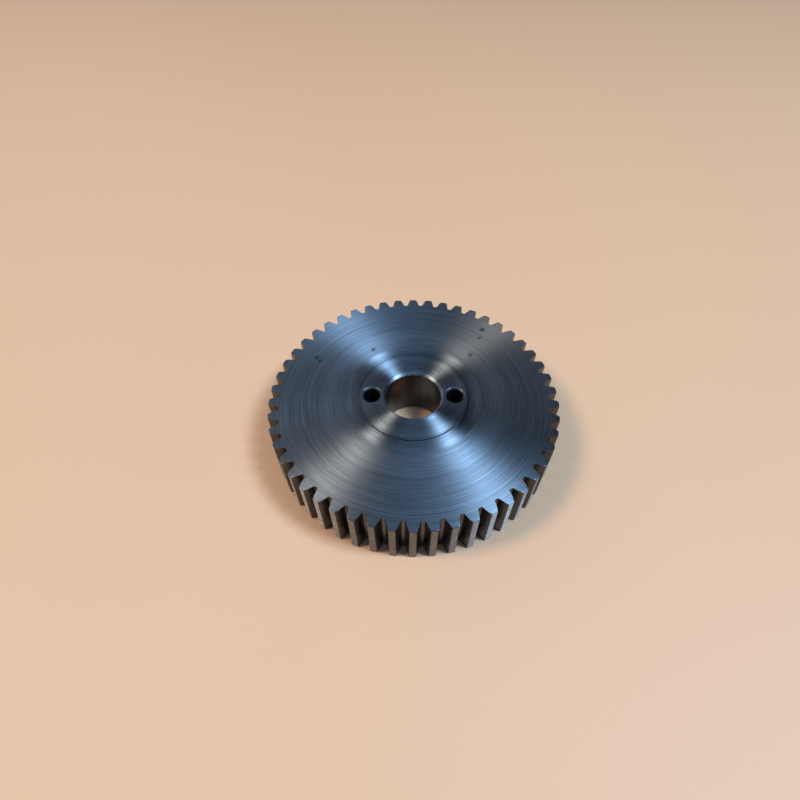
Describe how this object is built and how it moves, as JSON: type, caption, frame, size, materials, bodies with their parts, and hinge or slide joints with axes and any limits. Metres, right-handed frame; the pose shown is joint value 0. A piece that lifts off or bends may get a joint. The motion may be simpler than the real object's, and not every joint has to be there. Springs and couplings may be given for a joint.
{
  "type": "spur gear",
  "caption": "Flat one-piece steel spur gear with straight teeth, a plain through bore, a low raised hub face and small pin holes beside the bore.",
  "frame": {"origin": "centre of the bottom face, on the axis of the bore", "axes": "+Z along the bore axis, out of the face with the raised hub; +X through a pin hole; +Y through the middle of a tooth"},
  "size_m": [0.052, 0.052, 0.0103],
  "materials": {
    "turned_steel": "bare machined steel, faces turned with fine concentric tool marks, bore smooth, teeth as cut"
  },
  "bodies": {
    "root": {"spur_gear": "turned_steel"}
  },
  "joints": []
}
